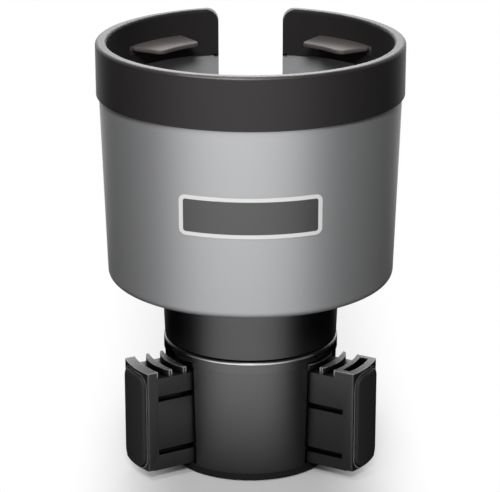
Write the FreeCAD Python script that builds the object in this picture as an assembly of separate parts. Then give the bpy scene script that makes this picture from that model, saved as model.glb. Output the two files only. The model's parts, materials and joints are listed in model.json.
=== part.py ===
import FreeCAD, Part
import math
import os

from FreeCAD import Vector

# Cup holder expander for a car: a wide cup on a base whose three legs slide out when the cup turns.
# Millimetres. The origin is the middle of the foot's underside, +Z is up, and -Y is the front,
# with the handle slot at the back. The pose is the one with the legs fully out.

# How far a cutter runs past what it cuts, how deep a joined piece reaches into its carrier,
# and how closely an edge is matched when it is picked out
overshoot = 1.0
root = 0.5
near = 1e-6

# Foot and bottom cover
foot_margin = 1.3
foot_thickness = 1.0
foot_recess = 0.6
cover_step = 0.2
cover_thickness = 1.8
cover_rim_wall = 1.3
cover_rim_height = 0.9
cover_edge_round = 0.5

# Base housing
housing_foot_radius = 32.0
housing_wall = 2.2
housing_draft = 1.3
housing_floor = 1.7
spigot_gap = 0.1
ring_overhang = 0.374
ring_lip = 1.7
ring_height = 5.0
ring_edge_round = 1.0
window_head = 1.4
window_side_gap = 1.6
post_radius = 5.2
post_screw_depth = 18.0
channel_gap = 0.5
channel_wall = 2.2
scroll_gap = 0.3
scroll_well_drop = 2.9

# Rails and the legs' rail grooves. Looking out from the axis, the left side's heights over the
# sill differ from the right side's, so that a leg only goes in one way round.
rail_low_left = 6.4
rail_high_left = 28.0
rail_low_right = 4.8
rail_high_right = 22.8
groove_height = 2.2
groove_depth = 1.8
groove_end = 4.2
rail_gap = 0.25
rail_inset = 3.3

# Legs
leg_azimuths = {"left": 210.0, "right": 330.0, "rear": 90.0}
leg_half_width = 9.4
leg_bottom_gap = 0.3
leg_height = 39.8
leg_reach = 50.7
leg_retracted_proud = 2.3
leg_inner_gap = 0.8
leg_face_radius = 35.0
leg_corner_round = 0.6
leg_core_wall = 2.0
leg_core_top = 2.6
pocket_wall = 1.9
pocket_depth = 4.0
pocket_corner = 0.6
pocket_least_width = 2.0

# Leg pads
pad_side_margin = 1.7
pad_top_margin = 2.0
pad_bottom_margin = 0.9
pad_corner = 4.0
pad_recess = 0.9
pad_proud = 0.9
pad_gap = 0.5
pad_edge_round = 0.45

# Scroll thread and the legs' teeth
scroll_pitch = 6.0
thread_width = 1.6
thread_start = 15.0
thread_arcs_per_turn = 8
thread_at_left_leg = 26.8
thread_tip_gap = 0.3
tooth_height = 2.8
tooth_width = 2.6
tooth_outer_flank = 18.0
tooth_inner_flank = 37.0
tooth_flank_gap = 0.2
scroll_thickness = 3.0
scroll_over_legs = 0.4

# Turning bearing: thrust washer, shoulder screw and its washer
thrust_thickness = 0.75
bearing_gap = 0.05
shoulder_radius = 3.0
spindle_shank_radius = 1.6
spindle_end_gap = 1.0
spindle_head_radius = 5.5
spindle_head_height = 3.0
spindle_washer_radius = 8.0
spindle_washer_thickness = 0.8
screw_fit_gap = 0.05

# Neck
neck_step = 0.43
neck_height = 23.8
neck_draft = 2.2
neck_wall = 2.2
neck_floor = 2.5
neck_floor_rise = 0.4
neck_shadow_gap = 0.6
boss_radius = 3.6

# Screws: count and first place on their circle, shank and head radius, head height, length under it
scroll_screw = {"count": 3, "start": 30.0, "shank": 1.2, "head": 2.6, "high": 1.8, "long": 4.8}
cup_screw = {"count": 4, "start": 45.0, "shank": 1.5, "head": 3.0, "high": 1.5, "long": 11.0}
cover_screw = {"count": 3, "start": 30.0, "shank": 1.2, "head": 2.4, "high": 1.0, "long": 9.0}
scroll_screw_inset = 13.3
cup_screw_inset = 2.67
cover_screw_inset = 4.3
screw_recess_gap = 0.3
screw_recess_extra = 0.2
screw_end_gap = 0.3
socket_share = 0.5
socket_depth_share = 0.6

# Cup
cup_bottom_radius = 53.95
cup_draft = 1.787
cup_wall = 1.8
cup_floor = 2.8
cup_bottom_round = 2.8
cup_inner_round = 2.0
cup_height = 88.4
cup_rim_straight = 3.4

# Handle slot in the cup's and the collar's back
slot_half_width = 12.6
slot_bottom = 22.7
slot_bottom_round = 9.0
slot_mouth_round = 5.5
slot_end_wall = 1.8
slot_notch_round = 0.5

# Rim collar
collar_wall = 1.1
collar_skirt = 1.2
collar_height = 19.5
collar_top_web = 1.75
collar_inner_lift = 1.5
collar_edge_round = 1.2
collar_fit_gap = 0.05

# Grip flaps
flap_azimuths = (45.0, 135.0, 225.0, 315.0)
flap_half_angle = 15.0
flap_reach = 14.5
flap_drop = 9.2
flap_thickness = 1.7
flap_root_depth = 2.2
flap_corner = 3.0

# Mat on the cup's floor
mat_thickness = 2.0
mat_rim_gap = 0.6
mat_land_radius = 37.0
mat_groove_width = 1.4
mat_groove_depth = 0.6
mat_groove_step = 6.0

# Front label
label_half_width = 25.4
label_middle_height = 38.6
label_height = 15.1
label_corner = 2.4
label_thickness = 0.3

# Heights that follow, from the ground up
cover_z = foot_thickness - foot_recess
floor_z = cover_z + cover_thickness
wall_z = floor_z + cover_rim_height
sill_z = floor_z + housing_floor
leg_z = sill_z + leg_bottom_gap
leg_top = leg_z + leg_height
tooth_floor = leg_top - tooth_height
scroll_z = leg_top + scroll_over_legs
thrust_z = scroll_z - bearing_gap - thrust_thickness
neck_floor_z = scroll_z + scroll_thickness
neck_floor_top = neck_floor_z + neck_floor
neck_z = neck_floor_top - neck_floor_rise
ring_top = neck_z - neck_shadow_gap
ring_z = ring_top - ring_height
window_top = ring_top - window_head
cup_z = neck_z + neck_height
cup_floor_top = cup_z + cup_floor
cup_top = cup_z + cup_height
collar_top = cup_top + collar_fit_gap + collar_top_web
collar_z = collar_top - collar_height
spindle_washer_z = neck_floor_top + bearing_gap
spindle_head_z = spindle_washer_z + spindle_washer_thickness
flap_top = collar_top - flap_drop

# Radii that follow
channel_half = leg_half_width + channel_gap
bearing_bore = shoulder_radius + bearing_gap
cover_radius = housing_foot_radius - cover_step
housing_top_radius = housing_foot_radius + (ring_z - wall_z) * math.tan(math.radians(housing_draft))
ring_radius = housing_top_radius + ring_overhang
neck_foot_radius = ring_radius - neck_step
neck_top_radius = neck_foot_radius + neck_height * math.tan(math.radians(neck_draft))
scroll_well_radius = ring_radius - ring_lip
scroll_radius = scroll_well_radius - scroll_gap
thread_end = scroll_radius - thread_width / 2
scroll_screw["circle"] = scroll_radius - scroll_screw_inset
cup_screw["circle"] = neck_foot_radius - neck_wall - cup_screw_inset
cover_screw["circle"] = housing_foot_radius - housing_wall - cover_screw_inset
foot_radius = cover_screw["circle"] - cover_screw["head"] - screw_recess_gap - foot_margin
far = 3.0 * cup_bottom_radius

# The legs' travel, down to a retracted leg that stands a little proud of the ring. Their inner ends
# then stop short of the post and of each other.
rail_heights = {1: (rail_low_left, rail_high_left), -1: (rail_low_right, rail_high_right)}
leg_travel = leg_reach - ring_radius - leg_retracted_proud
leg_meeting = leg_half_width / math.tan(math.radians(60.0))
leg_inner_end = leg_travel + leg_inner_gap + max(post_radius, leg_meeting)
rail_start = channel_half / math.tan(math.radians(60.0)) + rail_inset


def cup_outer_radius(z):
    """Radius of the cup's tapered outside at a height."""
    return cup_bottom_radius + (z - cup_z) * math.tan(math.radians(cup_draft))


# The cup's straight rim and the collar over it
cup_rim_z = collar_z - cup_rim_straight
cup_rim_radius = cup_outer_radius(cup_rim_z)
skirt_outer_radius = cup_rim_radius - cup_wall - collar_fit_gap
collar_inner_radius = skirt_outer_radius - collar_skirt
collar_bore_radius = cup_rim_radius + collar_fit_gap
collar_radius = collar_bore_radius + collar_wall
flap_tip_radius = collar_inner_radius - flap_reach


def cylinder(radius, z_low, z_high, x=0.0, y=0.0):
    """Upright cylinder between two heights."""
    return Part.makeCylinder(radius, z_high - z_low, Vector(x, y, z_low))


def ring(outer, inner, z_low, z_high):
    """Upright round ring between two heights."""
    return cylinder(outer, z_low, z_high).cut(cylinder(inner, z_low - overshoot, z_high + overshoot))


def block(x_range, y_range, z_range):
    """Box between three pairs of coordinates."""
    size = [high - low for low, high in (x_range, y_range, z_range)]
    return Part.makeBox(*size, Vector(x_range[0], y_range[0], z_range[0]))


def turned(shape, azimuth):
    """A copy of a shape that was made along +X, turned about the upright axis."""
    copy = shape.copy()
    copy.rotate(Vector(0, 0, 0), Vector(0, 0, 1), azimuth)
    return copy


def revolved(points, start=0.0, sweep=360.0):
    """Solid of revolution of a closed outline of (radius, height) points."""
    corners = [Vector(r, 0, z) for r, z in points]
    face = Part.Face(Part.makePolygon(corners + corners[:1]))
    return turned(face.revolve(Vector(0, 0, 0), Vector(0, 0, 1), sweep), start)


def fused(shapes):
    """One solid out of several that meet."""
    whole = shapes[0].multiFuse(shapes[1:]) if len(shapes) > 1 else shapes[0]
    return whole.removeSplitter()


def cut_all(shape, tools):
    """A shape less every tool in a list."""
    return shape.cut(Part.makeCompound(tools)).removeSplitter()


def edges_where(shape, test):
    """Edges whose middle point passes a test."""
    return [e for e in shape.Edges if test(e.valueAt((e.FirstParameter + e.LastParameter) / 2), e)]


def rounded_plate(half_width, z_low, z_high, corner, x_low, x_high):
    """Upright plate across +X with four rounded corners, seen along X as a rounded rectangle."""
    plate = block((x_low, x_high), (-half_width, half_width), (z_low, z_high))
    corners = edges_where(plate, lambda p, e: abs(abs(p.y) - half_width) < near
                          and min(abs(p.z - z_low), abs(p.z - z_high)) < near)
    return plate.makeFillet(corner, corners)


def on_circle(spec):
    """Places of a screw set on its circle."""
    step = 360.0 / spec["count"]
    angles = [math.radians(spec["start"] + step * i) for i in range(spec["count"])]
    return [(spec["circle"] * math.cos(a), spec["circle"] * math.sin(a)) for a in angles]


def screw_holes(spec, seat_z, pilot_z, clear_length):
    """Clearance holes below a seat, as a list of tools, ending in pilot holes of the shank's size."""
    direction = 1.0 if pilot_z > seat_z else -1.0
    tools = []
    for x, y in on_circle(spec):
        clear_end = seat_z + direction * clear_length
        low, high = sorted((seat_z - direction * overshoot, clear_end))
        tools.append(cylinder(spec["shank"] + 2 * screw_fit_gap, low, high, x, y))
        low, high = sorted((clear_end, pilot_z))
        tools.append(cylinder(spec["shank"] + screw_fit_gap, low, high, x, y))
    return tools


def screws(spec, seat_z, direction):
    """A set of socket-head screws, heads on a seat, shanks pointing up (1) or down (-1)."""
    shapes = []
    for x, y in on_circle(spec):
        shank_low, shank_high = sorted((seat_z, seat_z + direction * spec["long"]))
        head_low, head_high = sorted((seat_z, seat_z - direction * spec["high"]))
        head = cylinder(spec["head"], head_low, head_high, x, y)
        shank = cylinder(spec["shank"], shank_low, shank_high, x, y)
        shapes.append(fused([head, shank]).cut(hex_socket(spec["head"], seat_z - direction * spec["high"],
                                                          direction, spec["high"], x, y)))
    return Part.makeCompound(shapes)


def hex_socket(head_radius, face_z, direction, head_height, x=0.0, y=0.0):
    """Hexagonal socket sunk into a screw head from its free face."""
    points = [Vector(x + head_radius * socket_share * math.cos(math.radians(60 * i)),
                     y + head_radius * socket_share * math.sin(math.radians(60 * i)), face_z)
              for i in range(7)]
    depth = direction * head_height * socket_depth_share
    return Part.Face(Part.makePolygon(points)).extrude(Vector(0, 0, depth))


def foot_pad():
    """Non-slip disc under the bottom cover."""
    return cylinder(foot_radius, 0.0, foot_thickness)


def bottom_cover():
    """Shallow dish that closes the housing's underside."""
    rim_inner = cover_radius - cover_rim_wall
    body = cylinder(cover_radius, cover_z, wall_z)
    body = body.makeFillet(cover_edge_round, edges_where(body, lambda p, e: abs(p.z - cover_z) < near))
    recesses = [cylinder(cover_screw["head"] + screw_recess_gap, cover_z - overshoot,
                         cover_z + cover_screw["high"] + screw_recess_extra, x, y)
                for x, y in on_circle(cover_screw)]
    holes = [cylinder(cover_screw["shank"] + 2 * screw_fit_gap, cover_z, wall_z, x, y)
             for x, y in on_circle(cover_screw)]
    dish = cylinder(rim_inner, floor_z, wall_z + overshoot)
    pad_seat = cylinder(foot_radius, cover_z - overshoot, foot_thickness)
    return cut_all(body, [dish, pad_seat] + recesses + holes)


def leg_channels(half_width, z_low, z_high):
    """The three straight ways from the middle outwards, as one tool."""
    way = block((0.0, far), (-half_width, half_width), (z_low, z_high))
    return fused([turned(way, azimuth) for azimuth in leg_azimuths.values()])


def base_housing():
    """Tapered shell with three windows, channel walls with rails, and the middle post."""
    well_z = scroll_z - scroll_well_drop
    spigot = cover_radius - cover_rim_wall - spigot_gap
    inner_foot = housing_foot_radius - housing_wall
    inner_top = housing_top_radius - housing_wall
    shell = revolved([
        (0, floor_z), (spigot, floor_z), (spigot, wall_z), (housing_foot_radius, wall_z),
        (housing_top_radius, ring_z), (ring_radius, ring_z), (ring_radius, ring_top),
        (scroll_well_radius, ring_top), (scroll_well_radius, well_z), (inner_top, well_z),
        (inner_foot, sill_z), (0, sill_z)])
    shell = shell.makeFillet(ring_edge_round, edges_where(
        shell, lambda p, e: abs(p.z - ring_top) < near and abs(math.hypot(p.x, p.y) - ring_radius) < near))
    cavity = revolved([(0, sill_z), (inner_foot, sill_z), (inner_top, well_z), (0, well_z)])
    bosses = [cylinder(boss_radius, sill_z, sill_z + cover_screw["long"], x, y)
              for x, y in on_circle(cover_screw)]
    walls = cavity.common(leg_channels(channel_half + channel_wall, sill_z, well_z))
    inner = fused([walls] + [boss.common(cavity) for boss in bosses])
    inner = inner.cut(leg_channels(channel_half, sill_z, well_z))
    windows = leg_channels(leg_half_width + window_side_gap, sill_z, window_top).cut(
        cylinder(inner_foot - overshoot, floor_z, window_top))
    post = cylinder(post_radius, sill_z - root, thrust_z)
    body = fused([shell.cut(windows), inner, post] + rails())
    pilot = cylinder(spindle_shank_radius + screw_fit_gap, thrust_z - post_screw_depth, thrust_z + overshoot)
    seat = cover_z + cover_screw["high"] + screw_recess_extra
    return cut_all(body, [pilot] + screw_holes(cover_screw, seat, seat + cover_screw["long"] + screw_end_gap,
                                               floor_z - seat))


def rails():
    """Rails on both walls of each channel, which run in the grooves of the legs."""
    stop = leg_groove_end() - leg_travel - rail_gap
    shapes = []
    y_inner = leg_half_width - groove_depth + rail_gap
    for side, heights in rail_heights.items():
        y_range = sorted((side * y_inner, side * (channel_half + root)))
        for low in heights:
            z_range = (sill_z + low + rail_gap, sill_z + low + groove_height - rail_gap)
            bar = block((rail_start, stop), y_range, z_range)
            shapes += [turned(bar, azimuth) for azimuth in leg_azimuths.values()]
    return shapes


def leg_groove_end():
    """Distance from the axis to the closed outer end of the legs' rail grooves."""
    return leg_reach - leg_face_sag(leg_half_width) - groove_end


def leg_face_sag(lateral):
    """How far the leg's outer face falls back at a sideways distance from its middle."""
    return leg_face_radius - math.sqrt(leg_face_radius ** 2 - lateral ** 2)


def flank(middle, radius, half_width):
    """Arc across the leg, bulging outwards, through a middle distance from the axis."""
    end = middle - radius + math.sqrt(radius ** 2 - half_width ** 2)
    return [Vector(end, -half_width, 0), Vector(middle, 0, 0), Vector(end, half_width, 0)]


def slab_between(inner, outer, z_low, z_high):
    """Upright slab between two arcs across the leg, each given by three points."""
    edges = [Part.Arc(*inner).toShape(), Part.makeLine(inner[2], outer[2]),
             Part.Arc(*outer[::-1]).toShape(), Part.makeLine(outer[0], inner[0])]
    slab = Part.Face(Part.Wire(edges)).extrude(Vector(0, 0, z_high - z_low))
    slab.translate(Vector(0, 0, z_low))
    return slab


def leg_plan(z_low, z_high):
    """The leg's outline, solid from its inner end to its arched outer face."""
    inner = [Vector(leg_inner_end, -leg_half_width, 0), Vector(leg_inner_end, leg_half_width, 0)]
    outer = flank(leg_reach, leg_face_radius, leg_half_width)
    edges = [Part.makeLine(inner[0], inner[1]), Part.makeLine(inner[1], outer[2]),
             Part.Arc(*outer[::-1]).toShape(), Part.makeLine(outer[0], inner[0])]
    solid = Part.Face(Part.Wire(edges)).extrude(Vector(0, 0, z_high - z_low))
    solid.translate(Vector(0, 0, z_low))
    corner_x = outer[0].x
    corners = edges_where(solid, lambda p, e: abs(p.x - corner_x) < near
                          and abs(abs(p.y) - leg_half_width) < near)
    return solid.makeFillet(leg_corner_round, corners)


def thread_radius(azimuth):
    """Middle radius of the scroll thread at an azimuth, on the turn that crosses the left leg's slot."""
    return thread_at_left_leg + scroll_pitch * (azimuth - leg_azimuths["left"]) / 360.0


def slots_on_leg(azimuth):
    """Middles of the slots that the thread's turns run in, from the leg's inner end outwards."""
    slot = thread_radius(azimuth)
    while slot - scroll_pitch > leg_inner_end - scroll_pitch / 2:
        slot -= scroll_pitch
    slots = []
    while slot < thread_end + leg_travel:
        slots.append(slot)
        slot += scroll_pitch
    return slots


def leg_teeth(azimuth):
    """Crescent teeth between the thread's turns, and the thick outer band of the leg's top."""
    slots = slots_on_leg(azimuth)
    teeth = []
    for slot in slots[:-1]:
        middle = slot + scroll_pitch / 2
        tightest = max(thread_start, middle - leg_travel + scroll_pitch / 2)
        outer_radius = min(tooth_outer_flank, tightest - thread_width / 2 - tooth_flank_gap)
        outer = flank(middle + tooth_width / 2, outer_radius, leg_half_width)
        inner = flank(middle - tooth_width / 2, tooth_inner_flank, leg_half_width)
        teeth.append(slab_between(inner, outer, tooth_floor - root, leg_top))
    inner = flank(band_start(azimuth), tooth_inner_flank, leg_half_width)
    outer = flank(leg_reach, leg_face_radius, leg_half_width)
    teeth.append(slab_between(inner, outer, tooth_floor - root, leg_top))
    return teeth


def band_start(azimuth):
    """Distance from the axis to the inner face of the leg's thick outer band."""
    return slots_on_leg(azimuth)[-1] + scroll_pitch / 2 - tooth_width / 2


def band_pocket(azimuth):
    """Pocket that keeps a thick band's walls even, as a list of one tool, or of none in a thin band."""
    inner_middle = band_start(azimuth) + pocket_wall
    face_wall = pad_recess + pocket_wall
    if leg_reach - face_wall - inner_middle < pocket_least_width:
        return []
    half = leg_half_width - pocket_wall
    inner = flank(inner_middle, tooth_inner_flank + pocket_wall, half)
    outer = flank(leg_reach - face_wall, leg_face_radius - face_wall, half)
    pocket = slab_between(inner, outer, leg_top - pocket_depth, leg_top + overshoot)
    upright = edges_where(pocket, lambda p, e: abs(p.z - leg_top - (overshoot - pocket_depth) / 2) < near)
    return [pocket.makeFillet(pocket_corner, upright)]


def leg(azimuth):
    """One sliding leg, made along +X and turned to its azimuth."""
    body = leg_plan(leg_z, tooth_floor)
    top = leg_plan(leg_z, leg_top).common(Part.makeCompound(leg_teeth(azimuth)))
    body = fused([body, top])
    grooves = [block((leg_inner_end - overshoot, leg_groove_end()),
                     sorted((side * (leg_half_width - groove_depth), side * (leg_half_width + overshoot))),
                     (sill_z + low, sill_z + low + groove_height))
               for side, heights in rail_heights.items() for low in heights]
    core_half = leg_half_width - groove_depth - leg_core_wall
    core_outer = leg_reach - leg_face_sag(core_half) - pad_recess - leg_core_wall
    core = block((leg_inner_end + leg_core_wall, core_outer), (-core_half, core_half),
                 (leg_z - overshoot, tooth_floor - leg_core_top))
    seat = pad_form(pad_side_margin - pad_gap, pad_corner + pad_gap, pad_gap, pad_recess, far)
    return turned(cut_all(body, grooves + [core, seat] + band_pocket(azimuth)), azimuth)


def pad_form(side_margin, corner, grow, depth, height):
    """Rounded plate that follows the leg's face, from a depth under it to a height over it."""
    centre_x = leg_reach - leg_face_radius
    plate = rounded_plate(leg_half_width - side_margin, leg_z + pad_bottom_margin - grow,
                          leg_top - pad_top_margin + grow, corner, centre_x, far)
    back = cylinder(leg_face_radius - depth, leg_z - overshoot, leg_top + overshoot, centre_x)
    front = cylinder(leg_face_radius + height, leg_z - overshoot, leg_top + overshoot, centre_x)
    return plate.common(front).cut(back)


def leg_pad(azimuth):
    """Rubber pad set into the leg's outer face."""
    pad = pad_form(pad_side_margin, pad_corner, 0.0, pad_recess, pad_proud)
    outer_radius = leg_face_radius + pad_proud
    centre_x = leg_reach - leg_face_radius
    rim = edges_where(pad, lambda p, e: abs(math.hypot(p.x - centre_x, p.y) - outer_radius) < 1000 * near)
    return turned(pad.makeFillet(pad_edge_round, rim), azimuth)


def spiral_edge(offset):
    """Chain of arcs beside the thread's middle line, and the chain's two ends."""
    turns = (thread_end - thread_start) / scroll_pitch
    arcs = math.ceil(turns * thread_arcs_per_turn)
    points = []
    for i in range(2 * arcs + 1):
        radius = thread_start + (thread_end - thread_start) * i / (2 * arcs)
        turn = (radius - thread_at_left_leg) / scroll_pitch
        angle = math.radians(leg_azimuths["left"] + 360.0 * turn)
        points.append(Vector((radius + offset) * math.cos(angle), (radius + offset) * math.sin(angle), 0))
    edges = [Part.Arc(*points[2 * i:2 * i + 3]).toShape() for i in range(arcs)]
    return edges, points[0], points[-1]


def scroll_plate():
    """Disc with the spiral thread under it, which turns with the cup and drives the legs."""
    disc = cylinder(scroll_radius, scroll_z, scroll_z + scroll_thickness)
    inner, inner_start, inner_end = spiral_edge(-thread_width / 2)
    outer, outer_start, outer_end = spiral_edge(thread_width / 2)
    outline = Part.Wire(inner + [Part.makeLine(inner_end, outer_end)] + outer[::-1]
                        + [Part.makeLine(outer_start, inner_start)])
    height = scroll_z - tooth_floor - thread_tip_gap
    thread = Part.Face(outline).extrude(Vector(0, 0, height + root))
    thread.translate(Vector(0, 0, tooth_floor + thread_tip_gap))
    bore = cylinder(bearing_bore, 0.0, far)
    pilot_end = neck_floor_top - scroll_screw["long"] - screw_end_gap
    pilots = screw_holes(scroll_screw, neck_floor_top, pilot_end, neck_floor)
    return cut_all(disc.fuse(thread), [bore] + pilots)


def thrust_washer():
    """Slip washer on the post, under the scroll plate."""
    return ring(post_radius, spindle_shank_radius + screw_fit_gap, thrust_z, thrust_z + thrust_thickness)


def spindle_screw():
    """Shoulder screw that holds the turning parts down on the base."""
    shoulder_z = thrust_z + thrust_thickness
    length = post_screw_depth - spindle_end_gap
    head = cylinder(spindle_head_radius, spindle_head_z, spindle_head_z + spindle_head_height)
    shoulder = cylinder(shoulder_radius, shoulder_z, spindle_head_z)
    shank = cylinder(spindle_shank_radius, thrust_z - length, shoulder_z)
    screw = fused([head, shoulder, shank])
    return screw.cut(hex_socket(spindle_head_radius, spindle_head_z + spindle_head_height, -1.0,
                                spindle_head_height))


def spindle_washer():
    """Washer under the shoulder screw's head."""
    return ring(spindle_washer_radius, bearing_bore, spindle_washer_z, spindle_head_z)


def neck():
    """Tapered tube with a floor, which joins the scroll plate to the cup."""
    plug_radius = scroll_radius
    inner_foot = neck_foot_radius - neck_wall
    inner_top = neck_top_radius - neck_wall
    tube = revolved([
        (0, neck_floor_z), (plug_radius, neck_floor_z), (plug_radius, neck_z), (neck_foot_radius, neck_z),
        (neck_top_radius, cup_z), (inner_top, cup_z), (inner_foot, neck_floor_top), (0, neck_floor_top)])
    inside = revolved([(0, neck_z), (neck_foot_radius, neck_z), (neck_top_radius, cup_z), (0, cup_z)])
    bosses = [cylinder(boss_radius, neck_floor_top - root, cup_z, x, y).common(inside)
              for x, y in on_circle(cup_screw)]
    bore = cylinder(bearing_bore, 0.0, neck_floor_top + overshoot)
    clears = screw_holes(scroll_screw, neck_floor_top, neck_floor_z - overshoot, neck_floor)
    seat = cup_screw_seat()
    pilots = screw_holes(cup_screw, seat, seat - cup_screw["long"] - screw_end_gap, seat - cup_z)
    return cut_all(fused([tube] + bosses), [bore] + clears + pilots)


def cup_screw_seat():
    """Height of the seat under the cup screws' heads."""
    return cup_floor_top - cup_screw["high"] - screw_recess_extra


def slot_tool(half_width, mouth_round, z_low, bottom_round):
    """Cutter for the handle slot, seen from behind: straight sides, round foot and flared mouth."""
    top = collar_top + overshoot
    mouth_x = slot_half_width + slot_mouth_round
    mouth_z = collar_top - slot_mouth_round
    diagonal = mouth_round / math.sqrt(2.0)
    foot_diagonal = bottom_round * (1.0 - 1.0 / math.sqrt(2.0))

    def half(side):
        foot = [Vector(side * (half_width - bottom_round), 0, z_low),
                Vector(side * (half_width - foot_diagonal), 0, z_low + foot_diagonal),
                Vector(side * half_width, 0, z_low + bottom_round)]
        mouth = [Vector(side * half_width, 0, mouth_z),
                 Vector(side * (mouth_x - diagonal), 0, mouth_z + diagonal),
                 Vector(side * mouth_x, 0, mouth_z + mouth_round)]
        lip = Vector(side * mouth_x, 0, top)
        return foot, mouth, lip

    foot_r, mouth_r, lip_r = half(1)
    foot_l, mouth_l, lip_l = half(-1)
    edges = [Part.makeLine(foot_l[0], foot_r[0]), Part.Arc(*foot_r).toShape(),
             Part.makeLine(foot_r[2], mouth_r[0]), Part.Arc(*mouth_r).toShape(),
             Part.makeLine(mouth_r[2], lip_r), Part.makeLine(lip_r, lip_l),
             Part.makeLine(lip_l, mouth_l[2]), Part.Arc(*mouth_l[::-1]).toShape(),
             Part.makeLine(mouth_l[0], foot_l[2]), Part.Arc(*foot_l[::-1]).toShape()]
    tool = Part.Face(Part.Wire(edges)).extrude(Vector(0, far, 0))
    tool.translate(Vector(0, cup_bottom_radius / 2, 0))
    return tool


def collar_end_tool():
    """Wider cutter that leaves room for the collar's end walls beside the slot."""
    return slot_tool(slot_half_width + slot_end_wall, slot_mouth_round - slot_end_wall, collar_z,
                     slot_notch_round)


def cup_shell():
    """Tapered cup, open at the top, with the handle slot in its back wall."""
    inner_rim = cup_rim_radius - cup_wall
    inner_floor = cup_outer_radius(cup_floor_top) - cup_wall
    shell = revolved([
        (0, cup_z), (cup_bottom_radius, cup_z), (cup_rim_radius, cup_rim_z), (cup_rim_radius, cup_top),
        (inner_rim, cup_top), (inner_rim, cup_rim_z), (inner_floor, cup_floor_top), (0, cup_floor_top)])
    foot = edges_where(shell, lambda p, e: abs(p.z - cup_z) < near and math.hypot(p.x, p.y) > near)
    shell = shell.makeFillet(cup_bottom_round, foot)
    corner = edges_where(shell, lambda p, e: abs(p.z - cup_floor_top) < near and math.hypot(p.x, p.y) > near)
    shell = shell.makeFillet(cup_inner_round, corner)
    slot = slot_tool(slot_half_width, slot_mouth_round, cup_z + slot_bottom, slot_bottom_round)
    seat = cup_screw_seat()
    recesses = [cylinder(cup_screw["head"] + screw_recess_gap, seat, cup_floor_top + overshoot, x, y)
                for x, y in on_circle(cup_screw)]
    holes = [cylinder(cup_screw["shank"] + 2 * screw_fit_gap, cup_z - overshoot, seat + overshoot, x, y)
             for x, y in on_circle(cup_screw)]
    return cut_all(shell, [slot, collar_end_tool()] + recesses + holes)


def flap_window(azimuth, gap):
    """Opening right through the collar's inner skirt for one flap's root."""
    half = flap_half_angle + math.degrees(gap / collar_inner_radius)
    low = flap_top - flap_thickness - flap_root_depth - gap
    high = flap_top + gap
    inside = collar_inner_radius - overshoot
    outside = skirt_outer_radius + 2 * collar_fit_gap
    return revolved([(inside, low), (outside, low), (outside, high), (inside, high)],
                    azimuth - half, 2 * half)


def rim_collar():
    """C-shaped collar over the cup's rim, with solid ends beside the handle slot."""
    inner_z = collar_z + collar_inner_lift
    body = revolved([
        (collar_inner_radius, inner_z), (skirt_outer_radius, inner_z), (collar_bore_radius, collar_z),
        (collar_radius, collar_z), (collar_radius, collar_top), (collar_inner_radius, collar_top)])
    top_edges = edges_where(body, lambda p, e: abs(p.z - collar_top) < near)
    body = body.makeFillet(collar_edge_round, top_edges)
    channel = ring(collar_bore_radius, skirt_outer_radius, collar_z - overshoot, cup_top + collar_fit_gap)
    slot = slot_tool(slot_half_width, slot_mouth_round, cup_z + slot_bottom, slot_bottom_round)
    windows = [flap_window(azimuth, collar_fit_gap) for azimuth in flap_azimuths]
    return cut_all(body, [slot, channel.cut(collar_end_tool())] + windows)


def grip_flap(azimuth):
    """Soft flap that leans into the cup's mouth, with its root in the collar's skirt."""
    blade_low = flap_top - flap_thickness
    root_low = blade_low - flap_root_depth
    flap = revolved([
        (flap_tip_radius, blade_low), (collar_inner_radius, blade_low), (collar_inner_radius, root_low),
        (skirt_outer_radius, root_low), (skirt_outer_radius, flap_top), (flap_tip_radius, flap_top)],
        -flap_half_angle, 2 * flap_half_angle)
    corners = edges_where(flap, lambda p, e: abs(math.hypot(p.x, p.y) - flap_tip_radius) < near
                          and abs(p.z - (flap_top + blade_low) / 2) < near)
    return turned(flap.makeFillet(flap_corner, corners), azimuth)


def cup_mat():
    """Soft disc on the cup's floor, with round grooves in its top."""
    radius = cup_outer_radius(cup_floor_top) - cup_wall - cup_inner_round - mat_rim_gap
    top = cup_floor_top + mat_thickness
    mat = cylinder(radius, cup_floor_top, top)
    grooves = []
    inner = mat_land_radius
    while inner + mat_groove_width < radius - mat_groove_width:
        grooves.append(ring(inner + mat_groove_width, inner, top - mat_groove_depth, top + overshoot))
        inner += mat_groove_step
    return cut_all(mat, grooves)


def front_label():
    """Thin label that follows the cup's taper on its front."""
    low = cup_z + label_middle_height - label_height / 2
    high = low + label_height
    shell = revolved([(cup_outer_radius(low), low), (cup_outer_radius(low) + label_thickness, low),
                      (cup_outer_radius(high) + label_thickness, high), (cup_outer_radius(high), high)])
    plate = rounded_plate(label_half_width, low, high, label_corner, 0.0, far)
    return turned(shell.common(plate), -90.0)


def write(name, shape):
    """Write one piece to its file, as a valid solid or a group of solids."""
    solids = shape.Solids
    if not solids or not shape.isValid():
        raise ValueError("piece %s has %d solids, valid %s" % (name, len(solids), shape.isValid()))
    result = solids[0] if len(solids) == 1 else Part.makeCompound(solids)
    result.exportStep("parts/%s.step" % name)
    print("%-16s solids %d  volume %.0f" % (name, len(solids), result.Volume))


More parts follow.
